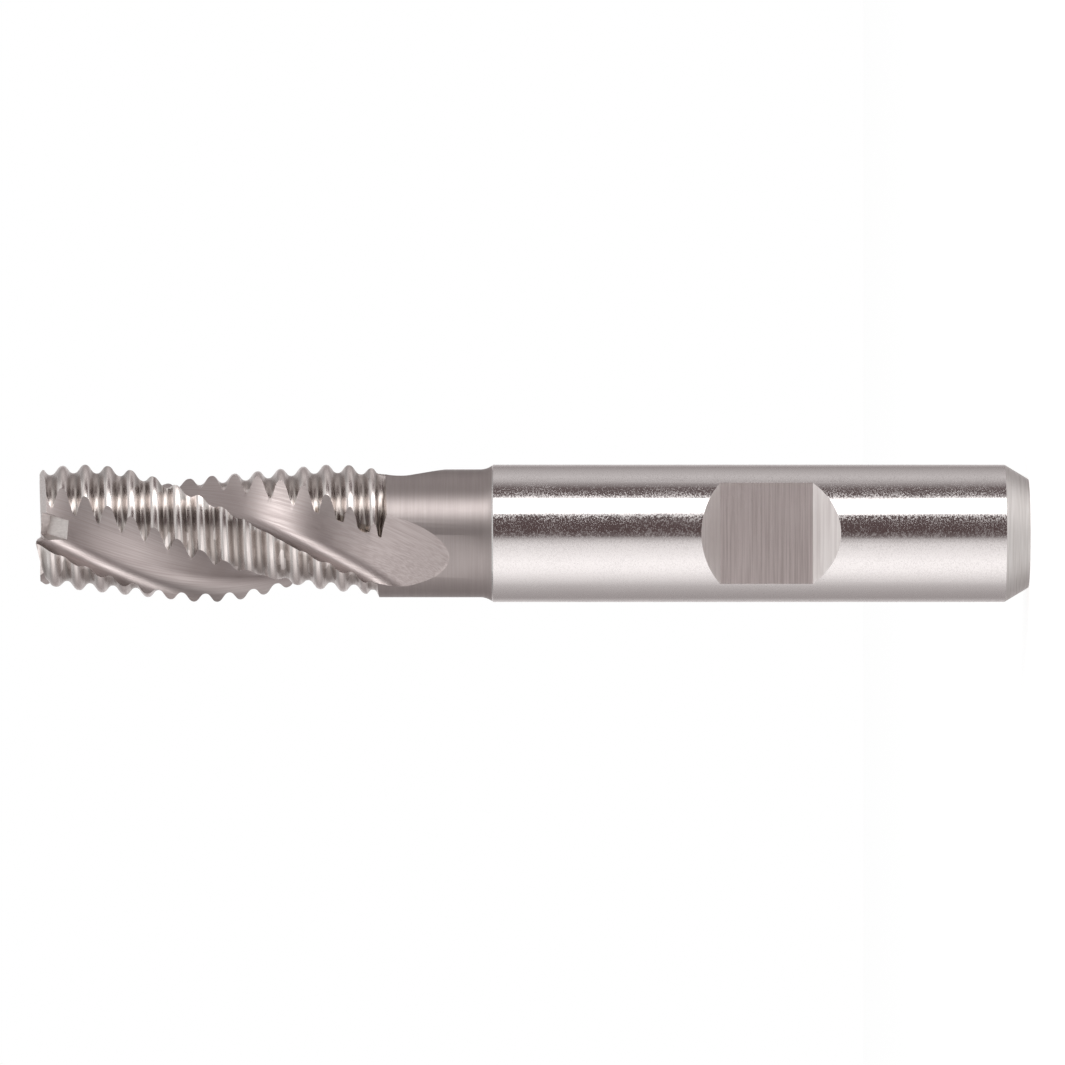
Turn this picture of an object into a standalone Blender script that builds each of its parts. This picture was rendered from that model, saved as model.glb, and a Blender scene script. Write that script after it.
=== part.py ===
"""Roughing end mill, 10 mm: one ground piece of high-speed steel, in metres.

The tool stands on its shank end, with its axis on Z and its cutting tip up. From the bottom it
has a plain shank with a clamping flat, a short neck, and a ribbed head with three right-hand
flutes that run out on the neck. The clamping flat faces -Y. It is made as the real one is: a
turned and ribbed blank, then flutes, end teeth and flat ground out of it.
"""
import math

import bmesh
import bpy
from mathutils import Vector

# The blank, from the shank end up
SHANK_LENGTH = 0.0389
NECK_LENGTH = 0.0084
HEAD_LENGTH = 0.0247
SHANK_DIAMETER = 0.0100
SHANK_CHAMFER_LENGTH = 0.00175
SHANK_CHAMFER_DEPTH = 0.00105
NECK_STEP = 0.00035
SHOULDER_RADIUS = 0.0015
CUTTING_DIAMETER = 0.0100

# The clamping flat, ground across the shank
FLAT_DEPTH = 0.0016
FLAT_LENGTH = 0.0070
FLAT_CENTRE_HEIGHT = 0.0188
FLAT_WALL_ANGLE = math.radians(42)

# The flutes: a helix with a hooked cutting face, a round root and a straight back
TEETH = 3
HELIX_ANGLE = math.radians(30)
TIP_EDGE_ANGLE = math.radians(21.7)
RAKE_ANGLE = math.radians(9)
ROOT_RADIUS = 0.0016
CORE_RADIUS = 0.00305
BACK_ANGLE = math.radians(27)

# The run-out: the wheel starts to lift above the neck, then stops turning with the tool
LIFT_START = 0.0058
LIFT_RADIUS = 0.0380
TURN_END = 0.0004

# The rounded ribs on the lands, which climb round the tool like a shallow thread. Shares are of
# the pitch, and the relief is the share of the radius that a land loses for each radian.
RIB_PITCH = 0.001662
RIB_DEPTH = 0.00060
RIB_LEAD = 0.00104
RIB_FULLNESS = 0.25
RIB_END_SHARE = 0.57
RIB_NOTCH_SHARE = 0.25
LAND_RELIEF = 0.178
LAND_ANGLE = math.radians(70)
EDGE_MARGIN = math.radians(3)
CORNER_CHAMFER = 0.00045

# The cutting tip: relief behind each end tooth, and a notch ahead of it
END_RELIEF_ANGLE = math.radians(10)
END_DISH_ANGLE = math.radians(2)
GASH_CENTRE_DEPTH = 0.0005
GASH_WEB = 0.00025
GASH_WIDTH = 0.00135
GASH_SLOPE_ANGLE = math.radians(29)
GASH_FALL_ANGLE = math.radians(11)
GASH_WALL_ANGLE = math.radians(20)

# How finely the surface is divided
LAND_STEPS = 8
GAP_STEPS = 8
ROWS_PER_RIB = 6
SHOULDER_STEPS = 3
ROOT_STEPS = 4
BACK_STEPS = 5
FLUTE_ROW = 0.00056
SHARP_ANGLE = math.radians(30)

# How far cutters reach past the surfaces that they cut
CLEAR = 0.0003
REACH = 0.008

STEEL_COLOUR = (0.56, 0.54, 0.53, 1.0)

# What follows from these sizes
SHANK_RADIUS = SHANK_DIAMETER / 2
NECK_RADIUS = SHANK_RADIUS - NECK_STEP
CUTTING_RADIUS = CUTTING_DIAMETER / 2
HEAD_BASE = SHANK_LENGTH + NECK_LENGTH
TIP_HEIGHT = HEAD_BASE + HEAD_LENGTH
HELIX_LEAD = math.pi * CUTTING_DIAMETER / math.tan(HELIX_ANGLE)
TOOTH_ANGLE = 2 * math.pi / TEETH
COLUMNS = TEETH * (LAND_STEPS + GAP_STEPS)


def polar(radius, angle, height):
    """A point given by its radius, its angle round the axis and its height."""
    return Vector((radius * math.cos(angle), radius * math.sin(angle), height))


def edge_angle(height, tooth):
    """The angle of a tooth's cutting edge round the axis, at a height."""
    turn = 2 * math.pi * (height - TIP_HEIGHT) / HELIX_LEAD
    return TIP_EDGE_ANGLE + turn + tooth * TOOTH_ANGLE


def rib_height(ribs, tooth, behind):
    """The height of a point on a tooth's land, so many ribs above the last crest.

    behind is the angle by which the point trails the cutting edge. Each tooth's ribs are shifted
    by a share of the pitch, so that one tooth cuts what the tooth ahead leaves standing.
    """
    shift = (1 - (tooth + 1) % TEETH) * RIB_PITCH / TEETH
    along_edge = 1 - RIB_LEAD / HELIX_LEAD
    first = (HEAD_BASE + RIB_END_SHARE * RIB_PITCH) * along_edge
    climb = RIB_LEAD * behind / (2 * math.pi)
    return (first + shift + ribs * RIB_PITCH - climb) / along_edge


def rib_depth(ribs):
    """The depth below the crests, as a wave a little fuller than a cosine."""
    wave = math.cos(2 * math.pi * ribs)
    full = wave * (1 + RIB_FULLNESS * (1 - wave * wave))
    return RIB_DEPTH * (1 - full) / 2


def land_radius(ribs, behind, height):
    """The radius of the relieved, ribbed form that the flutes are cut from."""
    crest = CUTTING_RADIUS * (1 - LAND_RELIEF * behind)
    run_off = max(0, behind - LAND_ANGLE) * CUTTING_RADIUS
    corner = min(max(0, height - TIP_HEIGHT + CORNER_CHAMFER), RIB_DEPTH)
    wall = NECK_RADIUS - (ribs + RIB_END_SHARE) * RIB_PITCH
    form = crest - max(rib_depth(ribs), corner) + run_off
    return min(max(form, wall), CUTTING_RADIUS + CLEAR)


def turned_profile():
    """Heights and radii of the turned part, from the neck down to the shank end."""
    lowest = HEAD_BASE - RIB_PITCH / TEETH - RIB_LEAD
    profile = [(lowest, NECK_RADIUS)]
    turn = math.acos(1 - NECK_STEP / SHOULDER_RADIUS)
    for step in range(SHOULDER_STEPS + 1):
        angle = turn * step / SHOULDER_STEPS
        height = SHANK_LENGTH + SHOULDER_RADIUS * (math.sin(turn) - math.sin(angle))
        profile.append((height, NECK_RADIUS + SHOULDER_RADIUS * (1 - math.cos(angle))))
    profile.append((SHANK_CHAMFER_LENGTH, SHANK_RADIUS))
    profile.append((0, SHANK_RADIUS - SHANK_CHAMFER_DEPTH))
    return profile


def rib_rows():
    """Row positions in ribs above the last crest: the end wall, the notch, then evenly past the tip."""
    top = math.ceil(HEAD_LENGTH / RIB_PITCH + 1) * ROWS_PER_RIB
    evenly = [row / ROWS_PER_RIB for row in range(top)]
    return [-RIB_END_SHARE, -RIB_NOTCH_SHARE] + evenly


def column_place(column):
    """The tooth that a column of the blank belongs to, and the angle by which it trails."""
    sector, step = divmod(column, LAND_STEPS + GAP_STEPS)
    tooth = -sector % TEETH
    if step <= LAND_STEPS:
        behind = -EDGE_MARGIN + (LAND_ANGLE + EDGE_MARGIN) * step / LAND_STEPS
    else:
        rest = TOOTH_ANGLE - EDGE_MARGIN - LAND_ANGLE
        behind = LAND_ANGLE + rest * (step - LAND_STEPS) / GAP_STEPS
    return tooth, behind


def rib_point(ribs, column):
    """A point of the ribbed head. Between two lands its height passes from one to the other."""
    tooth, behind = column_place(column)
    height = rib_height(ribs, tooth, min(behind, LAND_ANGLE))
    if behind > LAND_ANGLE:
        share = (behind - LAND_ANGLE) / (TOOTH_ANGLE - EDGE_MARGIN - LAND_ANGLE)
        following = rib_height(ribs, (tooth - 1) % TEETH, -EDGE_MARGIN)
        height += share * (following - height)
    radius = land_radius(ribs, behind, height)
    return polar(radius, edge_angle(height, tooth) - behind, height)


def swept_tube(name, rings):
    """A unit tube on Z with one ring for each row and closed ends, swept by a Screw modifier."""
    mesh = bpy.data.meshes.new(name)
    line = [(0, 0, rings)] + [(1, 0, rings - row) for row in range(rings)] + [(0, 0, 1)]
    mesh.from_pydata(line, [(index, index + 1) for index in range(len(line) - 1)], [])
    tube = bpy.data.objects.new(name, mesh)
    bpy.context.scene.collection.objects.link(tube)
    screw = tube.modifiers.new("Sweep", "SCREW")
    screw.steps = COLUMNS
    screw.render_steps = COLUMNS
    screw.use_merge_vertices = True
    screw.merge_threshold = 0.0001
    bpy.context.view_layer.update()
    swept = bpy.data.meshes.new_from_object(tube.evaluated_get(bpy.context.evaluated_depsgraph_get()))
    tube.modifiers.clear()
    tube.data = swept
    bpy.data.meshes.remove(mesh)
    return tube


def make_blank(name):
    """The turned shank and neck with the ribbed head on top: a tube whose rings take their place."""
    ribs = list(reversed(rib_rows()))
    profile = turned_profile()
    rings = len(ribs) + len(profile)
    blank = swept_tube(name, rings)
    for vertex in blank.data.vertices:
        x, y, level = vertex.co
        row = rings - round(level)
        if math.hypot(x, y) < 0.5:
            top = rib_height(ribs[0], 0, 0)
            vertex.co = (0, 0, top if row == 0 else 0)
            continue
        column = round(math.atan2(-y, x) / (2 * math.pi) * COLUMNS) % COLUMNS
        if row < len(ribs):
            vertex.co = rib_point(ribs[row], column)
        else:
            height, radius = profile[row - len(ribs)]
            tooth, behind = column_place(column)
            vertex.co = polar(radius, edge_angle(HEAD_BASE, tooth) - behind, height)
    blank.data.shade_smooth()
    blank.data.set_sharp_from_angle(angle=SHARP_ANGLE)
    return blank


def flute_outline(height):
    """The flute's outline at a height, with the cutting edge on the X axis.

    It runs from outside along the cutting face, round the root and out along the back. Below
    TURN_END the wheel no longer turns with the helix, so the outline slides sideways instead.
    """
    below = max(0, HEAD_BASE + TURN_END - height)
    lift = max(0, HEAD_BASE + LIFT_START - height)
    slide = below * math.tan(HELIX_ANGLE)
    edge = Vector((CUTTING_RADIUS + slide * math.sin(BACK_ANGLE), -slide * math.cos(BACK_ANGLE)))
    face_along = Vector((math.cos(RAKE_ANGLE), math.sin(RAKE_ANGLE)))
    face_normal = Vector((-face_along.y, face_along.x))
    back_normal = Vector((math.cos(BACK_ANGLE), math.sin(BACK_ANGLE)))
    back_along = Vector((-back_normal.y, back_normal.x))
    face_offset = face_normal.dot(edge) + ROOT_RADIUS
    back_offset = CORE_RADIUS + lift * lift / (2 * LIFT_RADIUS) + ROOT_RADIUS
    turn = math.pi / 2 + RAKE_ANGLE - BACK_ANGLE
    centre = (back_normal * (back_offset - face_offset * math.cos(turn))
              + face_normal * (face_offset - back_offset * math.cos(turn))) / math.sin(turn) ** 2
    outline = [centre - face_normal * ROOT_RADIUS + face_along * REACH]
    for step in range(ROOT_STEPS + 1):
        angle = math.pi / 2 + RAKE_ANGLE - turn * step / ROOT_STEPS
        outline.append(centre - ROOT_RADIUS * Vector((math.cos(angle), math.sin(angle))))
    back_foot = outline[-1]
    for step in range(1, BACK_STEPS + 1):
        outline.append(back_foot + back_along * REACH * step / BACK_STEPS)
    return outline


def loft(name, rings):
    """A closed solid through rings of points that all have the same count."""
    form = bmesh.new()
    levels = [[form.verts.new(point) for point in ring] for ring in rings]
    for lower, upper in zip(levels, levels[1:]):
        for index in range(len(lower)):
            following = (index + 1) % len(lower)
            form.faces.new((lower[index], lower[following], upper[following], upper[index]))
    form.faces.new(reversed(levels[0]))
    form.faces.new(levels[-1])
    bmesh.ops.triangulate(form, faces=form.faces)
    bmesh.ops.recalc_face_normals(form, faces=form.faces)
    mesh = bpy.data.meshes.new(name)
    form.to_mesh(mesh)
    form.free()
    mesh.shade_smooth()
    mesh.set_sharp_from_angle(angle=SHARP_ANGLE)
    return bpy.data.objects.new(name, mesh)


def flute_cutter(tooth):
    """The space that the grinding wheel sweeps ahead of one tooth, until it leaves the neck."""
    lift_end = math.sqrt(2 * LIFT_RADIUS * (NECK_RADIUS + CLEAR - CORE_RADIUS))
    lowest = HEAD_BASE + LIFT_START - lift_end
    highest = TIP_HEIGHT + 3 * RIB_PITCH
    rows = math.ceil((highest - lowest) / FLUTE_ROW)
    rings = []
    for row in range(rows + 1):
        height = lowest + (highest - lowest) * row / rows
        angle = edge_angle(max(height, HEAD_BASE + TURN_END), tooth)
        ring = []
        for point in flute_outline(height):
            ring.append(polar(point.length, angle + math.atan2(point.y, point.x), height))
        rings.append(ring)
    return loft(f"flute_cutter_{tooth + 1}", rings)


def moved_box(name, corners):
    """A box primitive whose corners take the given places: four below, then the four above."""
    form = bmesh.new()
    bmesh.ops.create_cube(form, size=2)
    order = [(-1, -1), (1, -1), (1, 1), (-1, 1)]
    for vertex in form.verts:
        place = order.index((round(vertex.co.x), round(vertex.co.y)))
        vertex.co = corners[place + (4 if vertex.co.z > 0 else 0)]
    bmesh.ops.recalc_face_normals(form, faces=form.faces)
    mesh = bpy.data.meshes.new(name)
    form.to_mesh(mesh)
    form.free()
    return bpy.data.objects.new(name, mesh)


def end_cutter(tooth):
    """What is ground off above one end tooth: its relief falls away behind the edge and inward."""
    start = edge_angle(TIP_HEIGHT, tooth)
    middle = start - TOOTH_ANGLE / 2
    spread = TOOTH_ANGLE / 2 - EDGE_MARGIN
    plan = [polar(-CLEAR, middle, 0), polar(REACH, middle - spread, 0)]
    plan += [polar(REACH, middle, 0), polar(REACH, start + 2 * EDGE_MARGIN, 0)]
    radial = polar(1, start, 0)
    ahead = polar(1, start + math.pi / 2, 0)
    corners = []
    for corner in plan:
        dish = math.tan(END_DISH_ANGLE) * (CUTTING_RADIUS - corner.dot(radial))
        relief = math.tan(END_RELIEF_ANGLE) * -corner.dot(ahead)
        corners.append(corner + Vector((0, 0, TIP_HEIGHT - dish - relief)))
    corners += [corner + Vector((0, 0, TIP_HEIGHT + REACH)) for corner in plan]
    return moved_box(f"end_cutter_{tooth + 1}", corners)


def gash_cutter(tooth):
    """The notch ahead of one end tooth: its floor falls outward, and its far wall leans away."""
    start = edge_angle(TIP_HEIGHT, tooth)
    radial = polar(1, start, 0)
    ahead = polar(1, start + math.pi / 2, 0)
    floor = []
    top = []
    for out, forward in ((GASH_WEB, 0), (REACH, 0), (REACH, GASH_WIDTH), (GASH_WEB, GASH_WIDTH)):
        depth = GASH_CENTRE_DEPTH + out * math.tan(GASH_SLOPE_ANGLE) + forward * math.tan(GASH_FALL_ANGLE)
        lean = (depth + REACH) * math.tan(GASH_WALL_ANGLE) if forward > 0 else 0
        floor.append(radial * out + ahead * forward + Vector((0, 0, TIP_HEIGHT - depth)))
        top.append(radial * out + ahead * (forward + lean) + Vector((0, 0, TIP_HEIGHT + REACH)))
    return moved_box(f"gash_cutter_{tooth + 1}", floor + top)


def flat_cutter():
    """The block that is ground out of the shank for the flat, with sloping end walls."""
    side = SHANK_RADIUS + CLEAR
    inner = SHANK_RADIUS - FLAT_DEPTH
    near = FLAT_LENGTH / 2
    far = near + (side - inner) * math.tan(FLAT_WALL_ANGLE)
    corners = []
    for end in (-1, 1):
        for x, y, reach in ((-side, -side, far), (side, -side, far),
                            (side, -inner, near), (-side, -inner, near)):
            corners.append(Vector((x, y, FLAT_CENTRE_HEIGHT + end * reach)))
    return moved_box("flat_cutter", corners)


def cut_all(target, cutters):
    """Cuts all the shapes out of the tool in one go, and keeps the cutters out of sight."""
    for cutter in cutters.objects:
        cutter.hide_render = True
        cutter.display_type = "WIRE"
    cut = target.modifiers.new("Grinding", "BOOLEAN")
    cut.operation = "DIFFERENCE"
    cut.operand_type = "COLLECTION"
    cut.collection = cutters


def steel():
    """Bright ground high-speed steel."""
    material = bpy.data.materials.new("ground_steel")
    material.use_nodes = True
    shader = material.node_tree.nodes["Principled BSDF"]
    shader.inputs["Base Color"].default_value = STEEL_COLOUR
    shader.inputs["Metallic"].default_value = 1.0
    shader.inputs["Roughness"].default_value = 0.3
    return material


for item in list(bpy.data.objects):
    bpy.data.objects.remove(item)

parts = bpy.data.collections.new("roughing_end_mill")
cutters = bpy.data.collections.new("cutters")
bpy.context.scene.collection.children.link(parts)
bpy.context.scene.collection.children.link(cutters)

end_mill = make_blank("end_mill")
bpy.context.scene.collection.objects.unlink(end_mill)
parts.objects.link(end_mill)
end_mill.data.materials.append(steel())
for number in range(TEETH):
    cutters.objects.link(flute_cutter(number))
    cutters.objects.link(end_cutter(number))
    cutters.objects.link(gash_cutter(number))
cutters.objects.link(flat_cutter())
cut_all(end_mill, cutters)
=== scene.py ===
"""Roughing end mill, 10 mm: one piece of bright ground high-speed steel, standing on its shank end.

The tool's axis is Z and its cutting tip points up. The clamping flat faces -Y, where the camera is.
It is made as the real tool is: a turned and ribbed blank, then flutes, end teeth and flat are ground
out of it, and each grinding leaves its own finish on the steel.
"""
import math

import bpy
from mathutils import Matrix, Vector


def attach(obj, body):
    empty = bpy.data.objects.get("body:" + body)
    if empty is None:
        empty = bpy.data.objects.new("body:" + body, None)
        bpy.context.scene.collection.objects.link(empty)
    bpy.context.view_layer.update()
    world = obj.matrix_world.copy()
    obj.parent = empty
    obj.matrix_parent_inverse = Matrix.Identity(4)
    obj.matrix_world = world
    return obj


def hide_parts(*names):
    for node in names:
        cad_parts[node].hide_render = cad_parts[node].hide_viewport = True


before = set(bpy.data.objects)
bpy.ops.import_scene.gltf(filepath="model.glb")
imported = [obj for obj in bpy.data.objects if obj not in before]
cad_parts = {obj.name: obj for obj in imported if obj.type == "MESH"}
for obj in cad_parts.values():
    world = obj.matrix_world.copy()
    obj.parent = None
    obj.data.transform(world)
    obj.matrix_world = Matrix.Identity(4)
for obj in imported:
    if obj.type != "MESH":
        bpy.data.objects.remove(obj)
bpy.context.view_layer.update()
bpy.ops.object.select_all(action="DESELECT")


# The blank: one bar of high-speed steel, turned and ground round. From the shank end up it has
# a 10 mm shank with a chamfered end, a slightly thinner neck, and the head that cuts.
# The head's three lands carry rounded ribs, form-ground with a profiled wheel.
SHANK_LENGTH = 0.0389
NECK_LENGTH = 0.0084
HEAD_LENGTH = 0.0247
SHANK_RADIUS = 0.0050
SHANK_CHAMFER_LENGTH = 0.00175
SHANK_CHAMFER_DEPTH = 0.00105
NECK_RADIUS = 0.00465
SHOULDER_RADIUS = 0.0015
CUTTING_RADIUS = 0.0050
HEAD_BASE = SHANK_LENGTH + NECK_LENGTH
TIP_HEIGHT = HEAD_BASE + HEAD_LENGTH

TEETH = 3
TOOTH_ANGLE = 2 * math.pi / TEETH
HELIX_ANGLE = math.radians(30)
HELIX_LEAD = 2 * math.pi * CUTTING_RADIUS / math.tan(HELIX_ANGLE)
TIP_EDGE_ANGLE = math.radians(21.7)

# The ribs climb round the tool like a shallow thread, by RIB_LEAD each turn. Counted from the tip, they
# end RIB_END_SHARE of a pitch past their last crest, and the last groove, next to the neck, is steeper
# and shallower than the others. A land loses LAND_RELIEF of its radius for each radian behind the edge.
RIB_PITCH = 0.001662
RIB_DEPTH = 0.00060
RIB_LEAD = 0.00104
RIB_FULLNESS = 0.25
RIB_END_SHARE = 0.57
LAST_GROOVE_STEEPNESS = 1.85
LAST_GROOVE_SHARE = 0.6
END_WALL_STEEPNESS = 2.0
LAND_RELIEF = 0.178
LAND_ANGLE = math.radians(70)
EDGE_MARGIN = math.radians(3)
CORNER_CHAMFER = 0.00045
CUTTER_CLEARANCE = 0.0003

LAND_COLUMNS = 18
GAP_COLUMNS = 14
COLUMNS = TEETH * (LAND_COLUMNS + GAP_COLUMNS)
ROWS_PER_RIB = 16
SHOULDER_STEPS = 8
WELD_DISTANCE = 0.0000001


def polar(radius, angle, height):
    """A point given by its radius, its angle round the axis and its height."""
    return Vector((radius * math.cos(angle), radius * math.sin(angle), height))


def edge_angle(height, tooth):
    """The angle of a tooth's cutting edge round the axis, at a height."""
    return TIP_EDGE_ANGLE + 2 * math.pi * (height - TIP_HEIGHT) / HELIX_LEAD + tooth * TOOTH_ANGLE


def rib_height(ribs, tooth, behind):
    """The height of a point on a tooth's land, so many ribs above the last crest."""
    shift = (1 - (tooth + 1) % TEETH) * RIB_PITCH / TEETH
    along_edge = 1 - RIB_LEAD / HELIX_LEAD
    last_crest = (HEAD_BASE + RIB_END_SHARE * RIB_PITCH) * along_edge
    return (last_crest + shift + ribs * RIB_PITCH - RIB_LEAD * behind / (2 * math.pi)) / along_edge


def land_radius(ribs, behind, height):
    """The radius of the ribbed land, which falls away behind the cutting edge."""
    phase = max(ribs * LAST_GROOVE_STEEPNESS, -0.5) if ribs < 0 else ribs
    wave = math.cos(2 * math.pi * phase)
    wave = wave * (1 + RIB_FULLNESS * (1 - wave * wave))
    if ribs < 0:
        wave = 1 - (1 - wave) * LAST_GROOVE_SHARE
    corner = min(max(0, height - TIP_HEIGHT + CORNER_CHAMFER), RIB_DEPTH)
    crest = CUTTING_RADIUS * (1 - LAND_RELIEF * behind)
    run_off = max(0, behind - LAND_ANGLE) * CUTTING_RADIUS
    wall = NECK_RADIUS - (ribs + RIB_END_SHARE) * RIB_PITCH * END_WALL_STEEPNESS
    form = crest - max(RIB_DEPTH * (1 - wave) / 2, corner) + run_off
    return min(max(form, wall), CUTTING_RADIUS + CUTTER_CLEARANCE)


def column_place(column):
    """The tooth that a column belongs to, and the angle by which it trails that tooth's edge."""
    sector, step = divmod(column, LAND_COLUMNS + GAP_COLUMNS)
    tooth = -sector % TEETH
    if step <= LAND_COLUMNS:
        return tooth, -EDGE_MARGIN + (LAND_ANGLE + EDGE_MARGIN) * step / LAND_COLUMNS
    rest = TOOTH_ANGLE - EDGE_MARGIN - LAND_ANGLE
    return tooth, LAND_ANGLE + rest * (step - LAND_COLUMNS) / GAP_COLUMNS


def rib_point(ribs, column):
    """A point of the ribbed head. Between two lands its height passes from one to the other."""
    tooth, behind = column_place(column)
    height = rib_height(ribs, tooth, min(behind, LAND_ANGLE))
    if behind > LAND_ANGLE:
        share = (behind - LAND_ANGLE) / (TOOTH_ANGLE - EDGE_MARGIN - LAND_ANGLE)
        height += share * (rib_height(ribs, (tooth - 1) % TEETH, -EDGE_MARGIN) - height)
    return polar(land_radius(ribs, behind, height), edge_angle(height, tooth) - behind, height)


def wrapped_grid(name, rings):
    """A closed solid from a grid primitive: each row of the grid becomes one ring of points."""
    rows, columns = len(rings), len(rings[0])
    bpy.ops.mesh.primitive_grid_add(x_subdivisions=columns, y_subdivisions=rows - 1, size=2)
    solid = bpy.context.object
    solid.name = solid.data.name = name
    for vertex in solid.data.vertices:
        column = round((vertex.co.x + 1) / 2 * columns) % columns
        row = round((vertex.co.y + 1) / 2 * (rows - 1))
        vertex.co = rings[row][column]
    bpy.ops.object.mode_set(mode="EDIT")
    bpy.ops.mesh.select_all(action="SELECT")
    bpy.ops.mesh.remove_doubles(threshold=WELD_DISTANCE)
    bpy.ops.mesh.select_all(action="DESELECT")
    bpy.ops.mesh.select_non_manifold()
    bpy.ops.mesh.edge_face_add()
    bpy.ops.mesh.select_all(action="SELECT")
    bpy.ops.mesh.quads_convert_to_tris()
    bpy.ops.mesh.normals_make_consistent(inside=False)
    bpy.ops.object.mode_set(mode="OBJECT")
    solid.select_set(False)
    return solid


def turned_rings():
    """The rings of points of the turned part, from the shank end up to where the ribs end."""
    turn = math.acos(1 - (SHANK_RADIUS - NECK_RADIUS) / SHOULDER_RADIUS)
    profile = [(0, SHANK_RADIUS - SHANK_CHAMFER_DEPTH), (SHANK_CHAMFER_LENGTH, SHANK_RADIUS)]
    for step in range(SHOULDER_STEPS + 1):
        angle = turn * (SHOULDER_STEPS - step) / SHOULDER_STEPS
        height = SHANK_LENGTH + SHOULDER_RADIUS * (math.sin(turn) - math.sin(angle))
        profile.append((height, NECK_RADIUS + SHOULDER_RADIUS * (1 - math.cos(angle))))
    profile.append((HEAD_BASE - RIB_PITCH / TEETH - RIB_LEAD, NECK_RADIUS))
    rings = []
    for height, radius in profile:
        ring = []
        for column in range(COLUMNS):
            tooth, behind = column_place(column)
            ring.append(polar(radius, edge_angle(HEAD_BASE, tooth) - behind, height))
        rings.append(ring)
    return rings


rib_rows = [-RIB_END_SHARE + row / ROWS_PER_RIB
            for row in range(math.ceil(HEAD_LENGTH / RIB_PITCH + RIB_END_SHARE) * ROWS_PER_RIB)]
rings = turned_rings() + [[rib_point(ribs, column) for column in range(COLUMNS)] for ribs in rib_rows]
end_mill = wrapped_grid("end_mill_finished", rings)


def grind(cutter):
    """Cuts a shape out of the tool. The new faces keep the cutter's material, as their finish."""
    cut = end_mill.modifiers.new(cutter.name, "BOOLEAN")
    cut.operation = "DIFFERENCE"
    cut.solver = "EXACT"
    cut.material_mode = "TRANSFER"
    cut.object = cutter
    bpy.context.view_layer.objects.active = end_mill
    bpy.ops.object.modifier_apply(modifier=cut.name)
    bpy.data.objects.remove(cutter)


# Every finish is bare steel with fine lines, and with softer blotches about 2 mm across. The last four
# values are the levels of the noise between which the colour and the roughness change.
BLOTCHES_PER_METRE = 450.0
BLOTCH_SHARE = 0.25
BLOTCH_DETAIL = 2.0
LINE_DETAIL = 3.0
LIGHTEST_LINE = 0.35
DARKEST_LINE = 0.65
SMOOTHEST_GRAIN = 0.5
ROUGHEST_GRAIN = 0.75


def srgb(code):
    """An sRGB hex colour as the linear colour that a shader takes."""
    parts = [int(code[index:index + 2], 16) / 255 for index in (1, 3, 5)]
    linear = [part / 12.92 if part <= 0.04045 else ((part + 0.055) / 1.055) ** 2.4 for part in parts]
    return (*linear, 1)


def add_node(owner, kind, settings=None, **links):
    """Adds a node with its settings and its inputs, named or as i0, i1 and so on, and gives it back."""
    node = owner.node_tree.nodes.new(kind)
    for key, value in (settings or {}).items():
        setattr(node, key, value)
    for key, value in links.items():
        socket = node.inputs[int(key[1:])] if key[1:].isdigit() else node.inputs[key.replace("_", " ")]
        if isinstance(value, bpy.types.NodeSocket):
            owner.node_tree.links.new(value, socket)
        else:
            socket.default_value = value
    return node


def ground_finish(name, light, dark, sheen, rough, grain, depth, twist=0.0):
    """Bare steel with the fine lines that its wheel or lathe tool left.

    A noise is drawn out into lines: grain is the size of its grains along x, y and z in metres, and
    depth is how deep the lines are. They take the colour from light to dark, and with softer blotches
    they take the roughness from sheen to rough. twist is the turn of the flutes in radians for each
    metre of height, and makes the lines follow them.
    """
    steel = bpy.data.materials.new(name)
    steel.use_nodes = True
    shader = steel.node_tree.nodes["Principled BSDF"]
    shader.inputs["Metallic"].default_value = 1.0
    place = add_node(steel, "ShaderNodeTexCoord").outputs["Object"]
    blotches = add_node(steel, "ShaderNodeTexNoise", None,
                        Vector=place, Scale=BLOTCHES_PER_METRE, Detail=BLOTCH_DETAIL)
    if twist:
        height = add_node(steel, "ShaderNodeSeparateXYZ", None, Vector=place).outputs["Z"]
        angle = add_node(steel, "ShaderNodeMath", {"operation": "MULTIPLY"}, i0=height, i1=-twist)
        straight = add_node(steel, "ShaderNodeVectorRotate", {"rotation_type": "Z_AXIS"},
                            Vector=place, Angle=angle.outputs[0])
        place = straight.outputs[0]
    drawn = add_node(steel, "ShaderNodeMapping", None, Vector=place, Scale=[1 / size for size in grain])
    lines = add_node(steel, "ShaderNodeTexNoise", None,
                     Vector=drawn.outputs[0], Scale=1.0, Detail=LINE_DETAIL)
    tint = add_node(steel, "ShaderNodeMapRange", None,
                    i0=lines.outputs["Fac"], i1=LIGHTEST_LINE, i2=DARKEST_LINE)
    colour = add_node(steel, "ShaderNodeMix", {"data_type": "RGBA"},
                      i0=tint.outputs[0], i6=srgb(light), i7=srgb(dark))
    mottle = add_node(steel, "ShaderNodeMath", {"operation": "MULTIPLY_ADD"},
                      i0=blotches.outputs["Fac"], i1=BLOTCH_SHARE, i2=lines.outputs["Fac"])
    roughness = add_node(steel, "ShaderNodeMapRange", None,
                         i0=mottle.outputs[0], i1=SMOOTHEST_GRAIN, i2=ROUGHEST_GRAIN, i3=sheen, i4=rough)
    bump = add_node(steel, "ShaderNodeBump", None, Height=lines.outputs["Fac"], Distance=depth)
    steel.node_tree.links.new(colour.outputs[2], shader.inputs["Base Color"])
    steel.node_tree.links.new(roughness.outputs[0], shader.inputs["Roughness"])
    steel.node_tree.links.new(bump.outputs[0], shader.inputs["Normal"])
    return steel


# Centreless-ground steel, on the shank: nearly a mirror, with a fine even speckle of grit marks that
# breaks up the edges of what it reflects. The real marks are some 0.02 mm across. They are drawn
# at 0.1 mm, so that they show.
shank_finish = ground_finish("centreless_ground_steel", "#c6c3c2", "#c2bfbe", 0.04, 0.31,
                             (0.00013, 0.00013, 0.00010), 0.0000001)
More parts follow.
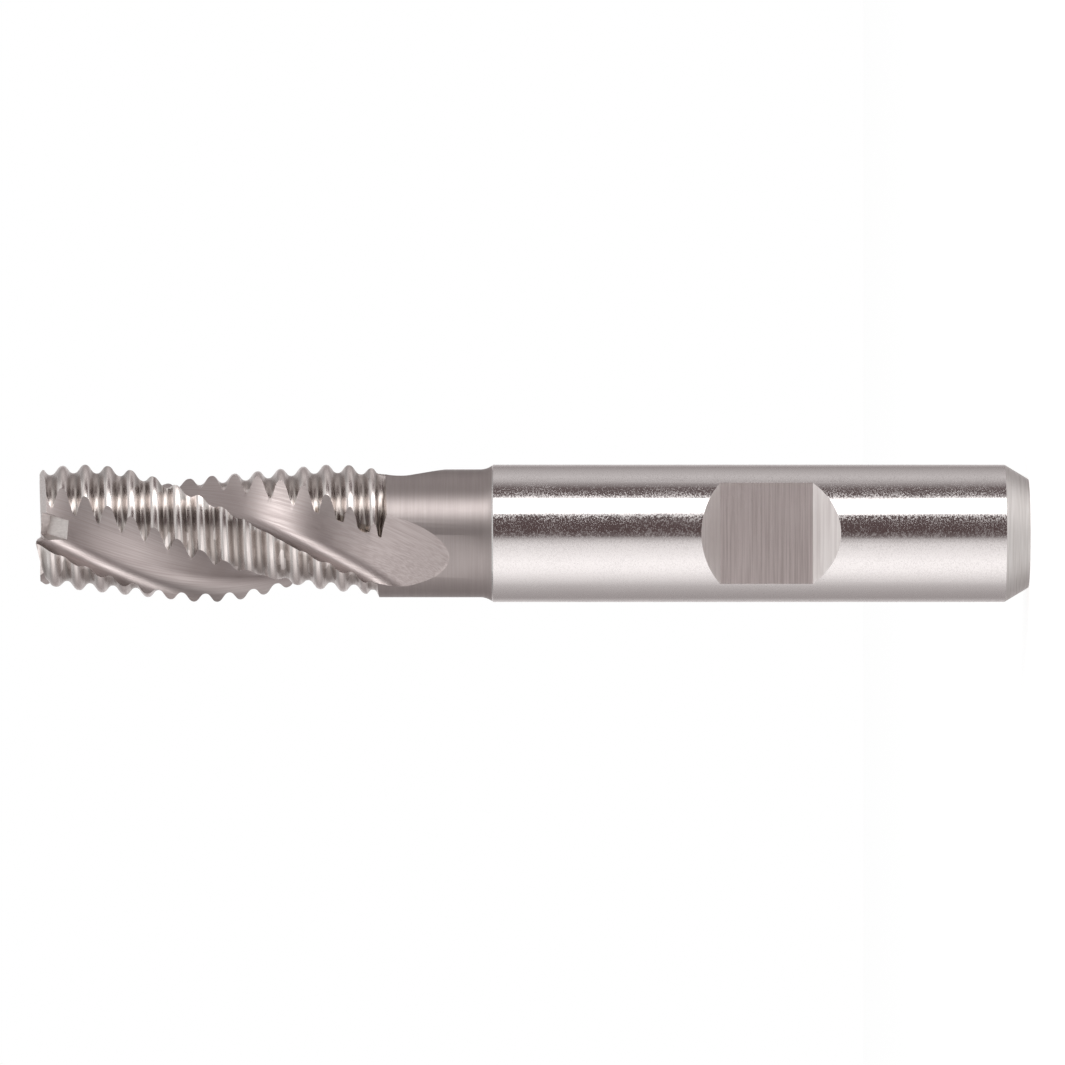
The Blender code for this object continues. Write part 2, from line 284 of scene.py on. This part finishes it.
# Turned and polished with a belt, on the neck: satin rings, which spread a reflection along the tool.
# The real rings are some 0.05 mm apart, and are drawn at 0.14 mm.
neck_finish = ground_finish("belt_polished_steel", "#a79f9d", "#a39b99", 0.57, 0.60,
                            (0.0040, 0.0040, 0.00014), 0.0000001)
neck_shader = neck_finish.node_tree.nodes["Principled BSDF"]
neck_shader.inputs["Anisotropic"].default_value = 0.8
neck_shader.inputs["Anisotropic Rotation"].default_value = 0.25
# Form-ground with a profiled wheel: bright ribs, with lines that run along them. The real lines are
# some 0.03 mm apart, and are drawn at 0.1 mm.
rib_finish_and_painted_shade = ground_finish("form_ground_steel_painted_shade", "#cac4c1", "#bdb6b3", 0.20, 0.33,
                           (0.0012, 0.0012, 0.00010), 0.0000005)
# The hollows between the ribs, found by how the surface bends, are browner and darker: this is painted
# shade, for the light that the hollows shut out.
HOLLOW_BEND = 0.465
CREST_BEND = 0.515
bend = add_node(rib_finish_and_painted_shade, "ShaderNodeNewGeometry").outputs["Pointiness"]
crest = add_node(rib_finish_and_painted_shade, "ShaderNodeMapRange", None, i0=bend, i1=HOLLOW_BEND, i2=CREST_BEND)
rib_shader = rib_finish_and_painted_shade.node_tree.nodes["Principled BSDF"]
ground_colour = rib_shader.inputs["Base Color"].links[0].from_socket
# Painted shade: the hollows take a dark brown in place of the ground colour.
rib_colour_and_painted_shade = add_node(rib_finish_and_painted_shade, "ShaderNodeMix", {"data_type": "RGBA"},
                      i0=crest.outputs[0], i6=srgb("#6f655e"), i7=ground_colour)
rib_finish_and_painted_shade.node_tree.links.new(rib_colour_and_painted_shade.outputs[2], rib_shader.inputs["Base Color"])
# Turned and left so, on the shank's end and its chamfer: a duller silver with the lathe's rings,
# 0.12 mm apart.
turned_finish = ground_finish("turned_steel", "#cfcac8", "#bfb9b6", 0.40, 0.50,
                              (0.0040, 0.0040, 0.00012), 0.0000010)
# The belt stops just short of the shank, and the ribs begin where the steel leaves the neck's radius.
BELT_CLEARANCE = 0.0001
NECK_TOLERANCE = 0.00001
turned_finishes = (shank_finish, neck_finish, rib_finish_and_painted_shade, turned_finish)
for finish in turned_finishes:
    end_mill.data.materials.append(finish)
for face in end_mill.data.polygons:
    off_neck = abs(math.hypot(face.center.x, face.center.y) - NECK_RADIUS)
    ribbed = face.center.z > HEAD_BASE - RIB_PITCH and off_neck > NECK_TOLERANCE
    if ribbed or face.center.z > HEAD_BASE + RIB_PITCH:
        face.material_index = turned_finishes.index(rib_finish_and_painted_shade)
    elif face.center.z > SHANK_LENGTH + BELT_CLEARANCE:
        face.material_index = turned_finishes.index(neck_finish)
    elif face.center.z < SHANK_CHAMFER_LENGTH:
        face.material_index = turned_finishes.index(turned_finish)


# The flutes: three right-hand helical channels, ground by a shaped wheel. Each has a hooked
# cutting face, a round root and a straight back that runs out on the neck as a flat lens,
# where the wheel lifts out of the steel.
RAKE_ANGLE = math.radians(9)
ROOT_RADIUS = 0.0016
CORE_RADIUS = 0.00305
BACK_ANGLE = math.radians(27)
LIFT_START = 0.0058
LIFT_RADIUS = 0.0380
TURN_END = 0.0004
FLUTE_ROW = 0.00018
ROOT_STEPS = 12
BACK_STEPS = 12
REACH = 0.008
PITCHES_PAST_TIP = 3


def flute_outline(height):
    """The flute's outline at a height, with the cutting edge on the X axis."""
    below = max(0, HEAD_BASE + TURN_END - height)
    lift = max(0, HEAD_BASE + LIFT_START - height)
    slide = below * math.tan(HELIX_ANGLE)
    edge = Vector((CUTTING_RADIUS + slide * math.sin(BACK_ANGLE), -slide * math.cos(BACK_ANGLE)))
    face_normal = Vector((-math.sin(RAKE_ANGLE), math.cos(RAKE_ANGLE)))
    back_normal = Vector((math.cos(BACK_ANGLE), math.sin(BACK_ANGLE)))
    face_offset = face_normal.dot(edge) + ROOT_RADIUS
    back_offset = CORE_RADIUS + lift * lift / (2 * LIFT_RADIUS) + ROOT_RADIUS
    turn = math.pi / 2 + RAKE_ANGLE - BACK_ANGLE
    centre = (back_normal * (back_offset - face_offset * math.cos(turn))
              + face_normal * (face_offset - back_offset * math.cos(turn))) / math.sin(turn) ** 2
    face_foot = centre - face_normal * ROOT_RADIUS
    outline = [face_foot + Vector((math.cos(RAKE_ANGLE), math.sin(RAKE_ANGLE))) * REACH]
    for step in range(ROOT_STEPS + 1):
        angle = math.pi / 2 + RAKE_ANGLE - turn * step / ROOT_STEPS
        outline.append(centre - ROOT_RADIUS * Vector((math.cos(angle), math.sin(angle))))
    back_foot = outline[-1]
    back_line = Vector((-back_normal.y, back_normal.x)) * REACH
    for step in range(1, BACK_STEPS + 1):
        outline.append(back_foot + back_line * step / BACK_STEPS)
    return outline


def flute_rings(tooth):
    """The flute's outline, row by row, from where the wheel leaves the neck to above the tip."""
    lift_end = math.sqrt(2 * LIFT_RADIUS * (NECK_RADIUS + CUTTER_CLEARANCE - CORE_RADIUS))
    lowest = HEAD_BASE + LIFT_START - lift_end
    highest = TIP_HEIGHT + PITCHES_PAST_TIP * RIB_PITCH
    rows = math.ceil((highest - lowest) / FLUTE_ROW)
    rings = []
    for row in range(rows + 1):
        height = lowest + (highest - lowest) * row / rows
        angle = edge_angle(max(height, HEAD_BASE + TURN_END), tooth)
        rings.append([polar(point.length, angle + math.atan2(point.y, point.x), height)
                      for point in flute_outline(height)])
    return rings


# Ground in one deep pass with a coarser wheel: a duller, greyer steel with lines along the flute,
# 0.1 mm apart.
flute_finish = ground_finish("deep_ground_flute_steel", "#a29a98", "#988f8d", 0.33, 0.42,
                             (0.00010, 0.00010, 0.0040), 0.0000005, 2 * math.pi / HELIX_LEAD)
flute_shader = flute_finish.node_tree.nodes["Principled BSDF"]
flute_shader.inputs["Anisotropic"].default_value = 0.5
for tooth in range(TEETH):
    flute = wrapped_grid(f"flute_{tooth + 1}", flute_rings(tooth))
    flute.data.materials.append(flute_finish)
    grind(flute)


# The end teeth: relief is ground off the tip behind each cutting edge, and a notch is ground
# ahead of it, so that the tool can also cut with its end.
END_RELIEF_ANGLE = math.radians(10)
END_DISH_ANGLE = math.radians(2)
GASH_CENTRE_DEPTH = 0.0005
GASH_WEB = 0.00025
GASH_WIDTH = 0.00135
GASH_SLOPE_ANGLE = math.radians(29)
GASH_FALL_ANGLE = math.radians(11)
GASH_WALL_ANGLE = math.radians(20)


def moved_box(name, corners):
    """A cube primitive whose corners take the given places: four below, then the four above."""
    bpy.ops.mesh.primitive_cube_add(size=2)
    block = bpy.context.object
    block.name = name
    order = [(-1, -1), (1, -1), (1, 1), (-1, 1)]
    for vertex in block.data.vertices:
        place = order.index((round(vertex.co.x), round(vertex.co.y)))
        vertex.co = corners[place + (4 if vertex.co.z > 0 else 0)]
    bpy.ops.object.mode_set(mode="EDIT")
    bpy.ops.mesh.select_all(action="SELECT")
    bpy.ops.mesh.normals_make_consistent(inside=False)
    bpy.ops.object.mode_set(mode="OBJECT")
    block.select_set(False)
    return block


def end_corners(tooth):
    """What is ground off above one end tooth: its relief falls away behind the edge and inward."""
    start = edge_angle(TIP_HEIGHT, tooth)
    middle = start - TOOTH_ANGLE / 2
    spread = TOOTH_ANGLE / 2 - EDGE_MARGIN
    plan = [polar(-CUTTER_CLEARANCE, middle, 0), polar(REACH, middle - spread, 0)]
    plan += [polar(REACH, middle, 0), polar(REACH, start + 2 * EDGE_MARGIN, 0)]
    radial = polar(1, start, 0)
    ahead = polar(1, start + math.pi / 2, 0)
    corners = []
    for corner in plan:
        dish = math.tan(END_DISH_ANGLE) * (CUTTING_RADIUS - corner.dot(radial))
        relief = math.tan(END_RELIEF_ANGLE) * -corner.dot(ahead)
        corners.append(corner + Vector((0, 0, TIP_HEIGHT - dish - relief)))
    return corners + [corner + Vector((0, 0, TIP_HEIGHT + REACH)) for corner in plan]


def gash_corners(tooth):
    """The notch ahead of one end tooth: its floor falls outward, and its far wall leans away."""
    start = edge_angle(TIP_HEIGHT, tooth)
    radial = polar(1, start, 0)
    ahead = polar(1, start + math.pi / 2, 0)
    floor = []
    top = []
    for out, forward in ((GASH_WEB, 0), (REACH, 0), (REACH, GASH_WIDTH), (GASH_WEB, GASH_WIDTH)):
        depth = GASH_CENTRE_DEPTH + out * math.tan(GASH_SLOPE_ANGLE) + forward * math.tan(GASH_FALL_ANGLE)
        lean = (depth + REACH) * math.tan(GASH_WALL_ANGLE) if forward > 0 else 0
        floor.append(radial * out + ahead * forward + Vector((0, 0, TIP_HEIGHT - depth)))
        top.append(radial * out + ahead * (forward + lean) + Vector((0, 0, TIP_HEIGHT + REACH)))
    return floor + top


# Sharpened with a small cup wheel: short fine lines across the end teeth, 0.12 mm apart.
end_finish = ground_finish("cup_wheel_ground_steel", "#c9c2bf", "#bdb6b3", 0.34, 0.42,
                           (0.00012, 0.0009, 0.00030), 0.0000004)
for make_corners in (end_corners, gash_corners):
    for tooth in range(TEETH):
        block = moved_box(f"end_cut_{tooth + 1}", make_corners(tooth))
        block.data.materials.append(end_finish)
        grind(block)


# The clamping flat: ground across the shank for the holder's set screw. Its end walls slope, the one at
# the shank end more gently: their angles are from straight across the tool. A face of the cutter whose
# normal leans along the tool by more than END_WALL_SLOPE is an end wall.
FLAT_DEPTH = 0.0016
FLAT_LENGTH = 0.0067
FLAT_CENTRE_HEIGHT = 0.0191
FLAT_WALL_ANGLES = (math.radians(51.5), math.radians(41))
END_WALL_SLOPE = 0.5

# Surface-ground with the side of a wheel: an even grey, with long lines across the tool,
# 0.13 mm apart.
flat_finish = ground_finish("surface_ground_steel", "#c9c1bf", "#a69d9b", 0.40, 0.48,
                            (0.0060, 0.0060, 0.00013), 0.0000025)
# The end walls are cut by the wheel's edge. Their brighter silver is painted light: a lighter copy of the
# flat's steel, for the light that the walls catch.
wall_finish_painted_light = ground_finish("wheel_edge_ground_steel_painted_light", "#e0dad8", "#d1cac8", 0.34, 0.44,
                            (0.0060, 0.0060, 0.00016), 0.0000010)
side = SHANK_RADIUS + CUTTER_CLEARANCE
inner = SHANK_RADIUS - FLAT_DEPTH
corners = []
for end, wall_angle in zip((-1, 1), FLAT_WALL_ANGLES):
    flare = (side - inner) * math.tan(wall_angle)
    far = FLAT_CENTRE_HEIGHT + end * (FLAT_LENGTH / 2 + flare)
    near = FLAT_CENTRE_HEIGHT + end * FLAT_LENGTH / 2
    corners += [Vector((-side, -side, far)), Vector((side, -side, far))]
    corners += [Vector((side, -inner, near)), Vector((-side, -inner, near))]
block = moved_box("flat_cut", corners)
flat_finishes = (flat_finish, wall_finish_painted_light)
for finish in flat_finishes:
    block.data.materials.append(finish)
for face in block.data.polygons:
    if abs(face.normal.z) > END_WALL_SLOPE:
        face.material_index = flat_finishes.index(wall_finish_painted_light)
grind(block)

# The tool is whole now: its rounded faces are shaded smooth, and its ground edges stay sharp.
SHARPEST_SMOOTH_EDGE = math.radians(24)
bpy.ops.object.select_all(action="DESELECT")
end_mill.select_set(True)
bpy.context.view_layer.objects.active = end_mill
bpy.ops.object.shade_smooth_by_angle(angle=SHARPEST_SMOOTH_EDGE)
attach(end_mill, "root")
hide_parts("end_mill")


# The stage: a plain pale floor under the shank end, a white surround and a camera that lies on its
# side, so that the tip is at the left. The floor glows a little, so that it stays as white as the
# surround and keeps only the tool's own shadow.
CAMERA_DISTANCE = 0.8
FRAME_WIDTH = 0.07745
CAMERA_SIDE = 0.00006
CAMERA_HEIGHT = 0.03605
SENSOR_WIDTH = 36
FLOOR_SIZE = 0.8
FLOOR_GLOW = 0.52
SURROUND_LIGHT = 0.5

camera_data = bpy.data.cameras.new("camera")
camera_data.sensor_width = SENSOR_WIDTH
camera_data.lens = SENSOR_WIDTH * CAMERA_DISTANCE / FRAME_WIDTH
camera = bpy.data.objects.new("camera", camera_data)
bpy.context.scene.collection.objects.link(camera)
picture_right = Vector((0, 0, -1))
picture_up = Vector((1, 0, 0))
towards_camera = Vector((0, -1, 0))
turned = Matrix((picture_right, picture_up, towards_camera)).transposed()
stand = Matrix.Translation((CAMERA_SIDE, -CAMERA_DISTANCE, CAMERA_HEIGHT))
camera.matrix_world = stand @ turned.to_4x4()
bpy.context.scene.camera = camera

bpy.ops.mesh.primitive_plane_add(size=FLOOR_SIZE)
floor = bpy.context.object
floor.name = "floor"
# Matt white card: it has no sheen, so nothing of the tool is mirrored in it.
floor_paint = bpy.data.materials.new("white_card")
floor_paint.use_nodes = True
tree = floor_paint.node_tree
shader = tree.nodes["Principled BSDF"]
shader.inputs["Base Color"].default_value = srgb("#f4f4f4")
shader.inputs["Roughness"].default_value = 0.9
shader.inputs["Specular IOR Level"].default_value = 0.0
paths = add_node(floor_paint, "ShaderNodeLightPath")
seen = add_node(floor_paint, "ShaderNodeMath", {"operation": "MAXIMUM"},
                i0=paths.outputs["Is Camera Ray"], i1=paths.outputs["Is Glossy Ray"])
glow = add_node(floor_paint, "ShaderNodeMath", {"operation": "MULTIPLY"},
                i0=seen.outputs[0], i1=FLOOR_GLOW)
tree.links.new(glow.outputs[0], shader.inputs["Emission Strength"])
shader.inputs["Emission Color"].default_value = (1, 1, 1, 1)
floor.data.materials.append(floor_paint)
floor.visible_glossy = False
floor.select_set(False)

world = bpy.data.worlds.new("white_surround")
bpy.context.scene.world = world
world.use_nodes = True
paths = add_node(world, "ShaderNodeLightPath")
seen = add_node(world, "ShaderNodeMath", {"operation": "MAXIMUM"},
                i0=paths.outputs["Is Camera Ray"], i1=paths.outputs["Is Glossy Ray"])
seen = add_node(world, "ShaderNodeMath", {"operation": "MAXIMUM"},
                i0=seen.outputs[0], i1=paths.outputs["Is Transmission Ray"])
level = add_node(world, "ShaderNodeMapRange", None, i0=seen.outputs[0], i3=SURROUND_LIGHT, i4=1.0)
background = world.node_tree.nodes["Background"]
background.inputs["Color"].default_value = (1, 1, 1, 1)
world.node_tree.links.new(level.outputs[0], background.inputs["Strength"])

# Two softboxes light the floor. Each has its name, azimuth in degrees and power in watts. Azimuth 0
# is towards the camera and 90 is up in the picture.
SOFTBOXES = (("key_softbox", 47, 0.25), ("fill_softbox", -60, 0.15))
SOFTBOX_DISTANCE = 0.30
SOFTBOX_HEIGHT = 0.15
SOFTBOX_SIZE = 0.25
for name, azimuth, power in SOFTBOXES:
    turn = math.radians(azimuth)
    out = Vector((math.sin(turn), -math.cos(turn), 0))
    lamp_data = bpy.data.lights.new(name, "AREA")
    lamp_data.size = SOFTBOX_SIZE
    lamp_data.energy = power
    lamp = bpy.data.objects.new(name, lamp_data)
    bpy.context.scene.collection.objects.link(lamp)
    face_tool = Matrix((out.cross(Vector((0, 0, 1))) * -1, Vector((0, 0, 1)), out)).transposed()
    stand = Matrix.Translation(out * SOFTBOX_DISTANCE + Vector((0, 0, SOFTBOX_HEIGHT)))
    lamp.matrix_world = stand @ face_tool.to_4x4()
    lamp.visible_camera = False
    lamp.visible_glossy = False

# A tent of light stands round the tool and shows only in the steel. Its white strip, black gaps
# and pale sides run along the tool. Towards its two ends they fade, by BLEND_SHARE, into a plain grey
# that is brighter round END_GLOW_AZIMUTH. TENT_WARMTH is the red that is added to each level.
TENT_RADIUS = 0.12
TENT_HEIGHT = 0.30
TENT_SIDES = 96
TENT_PEAK = 4.5
TENT_WARMTH = 0.045
TENT_END_LEVEL = 0.40
END_GLOW_LEVEL = 1.9
END_GLOW_AZIMUTH = math.radians(55)
END_GLOW_INNER = 0.55
END_GLOW_OUTER = 0.90
BLEND_START = 0.04
BLEND_END = 0.11
BLEND_SHARE = 0.6
# Azimuth in degrees and brightness, from straight behind the tool right round it.
TENT_LEVELS = ((-180, 0.90), (-160, 0.80), (-137, 0.48), (-115, 0.60), (-98, 0.77), (-84, 1.17),
               (-65, 1.60), (-50, 1.69), (-32, 1.45), (-18, 1.22), (-10, 0.85), (-5, 0.20),
               (3, 0.10), (14, 0.11), (29, 0.14), (32, 0.70), (35, 4.50), (57, 4.50), (61, 0.70),
               (65, 0.18), (80, 0.16), (88, 0.42), (98, 0.78), (108, 0.88), (125, 0.68),
               (145, 0.40), (165, 0.80), (180, 0.90))
bpy.ops.mesh.primitive_cylinder_add(vertices=TENT_SIDES, radius=TENT_RADIUS, depth=TENT_HEIGHT,
                                    end_fill_type="NOTHING", location=(0, 0, CAMERA_HEIGHT))
tent = bpy.context.object
tent.name = "light_tent"
cloth = bpy.data.materials.new("glowing_tent_cloth")
cloth.use_nodes = True
shader = cloth.node_tree.nodes["Principled BSDF"]
shader.inputs["Base Color"].default_value = (0, 0, 0, 1)
shader.inputs["Specular IOR Level"].default_value = 0.0
shader.inputs["Emission Strength"].default_value = TENT_PEAK
place = add_node(cloth, "ShaderNodeTexCoord").outputs["Object"]
place = add_node(cloth, "ShaderNodeSeparateXYZ", None, Vector=place)
towards = add_node(cloth, "ShaderNodeMath", {"operation": "MULTIPLY"}, i0=place.outputs["Y"], i1=-1.0)
azimuth = add_node(cloth, "ShaderNodeMath", {"operation": "ARCTAN2"},
                   i0=place.outputs["X"], i1=towards.outputs[0])
aside = add_node(cloth, "ShaderNodeMath", {"operation": "SUBTRACT"},
                 i0=azimuth.outputs[0], i1=END_GLOW_AZIMUTH)
aside = add_node(cloth, "ShaderNodeMath", {"operation": "ABSOLUTE"}, i0=aside.outputs[0])
end_glow = add_node(cloth, "ShaderNodeMapRange", {"interpolation_type": "SMOOTHSTEP"},
                    i0=aside.outputs[0], i1=END_GLOW_INNER, i2=END_GLOW_OUTER,
                    i3=END_GLOW_LEVEL / TENT_PEAK, i4=TENT_END_LEVEL / TENT_PEAK)
azimuth = add_node(cloth, "ShaderNodeMapRange", None, i0=azimuth.outputs[0], i1=-math.pi, i2=math.pi)
ramp = add_node(cloth, "ShaderNodeValToRGB", None, Fac=azimuth.outputs[0])
while len(ramp.color_ramp.elements) > 1:
    ramp.color_ramp.elements.remove(ramp.color_ramp.elements[0])
for number, (degrees, level) in enumerate(TENT_LEVELS):
    position = (degrees + 180) / 360
    if number == 0:
        stop = ramp.color_ramp.elements[0]
        stop.position = position
    else:
        stop = ramp.color_ramp.elements.new(position)
    stop.color = ((level + TENT_WARMTH) / TENT_PEAK, level / TENT_PEAK, level / TENT_PEAK, 1)
tip_end = add_node(cloth, "ShaderNodeMapRange", {"interpolation_type": "SMOOTHSTEP"},
                   i0=place.outputs["Z"], i1=BLEND_START, i2=BLEND_END, i4=BLEND_SHARE)
shank_end = add_node(cloth, "ShaderNodeMapRange", {"interpolation_type": "SMOOTHSTEP"},
                     i0=place.outputs["Z"], i1=-BLEND_START, i2=-BLEND_END, i4=BLEND_SHARE)
ends = add_node(cloth, "ShaderNodeMath", {"operation": "ADD"},
                i0=tip_end.outputs[0], i1=shank_end.outputs[0])
glow = add_node(cloth, "ShaderNodeMix", {"data_type": "RGBA"},
                i0=ends.outputs[0], i6=ramp.outputs["Color"], i7=end_glow.outputs[0])
cloth.node_tree.links.new(glow.outputs[2], shader.inputs["Emission Color"])
tent.data.materials.append(cloth)
tent.visible_camera = False
tent.visible_diffuse = False
tent.visible_shadow = False
tent.visible_transmission = False
tent.select_set(False)

bpy.context.scene.view_settings.view_transform = "Standard"
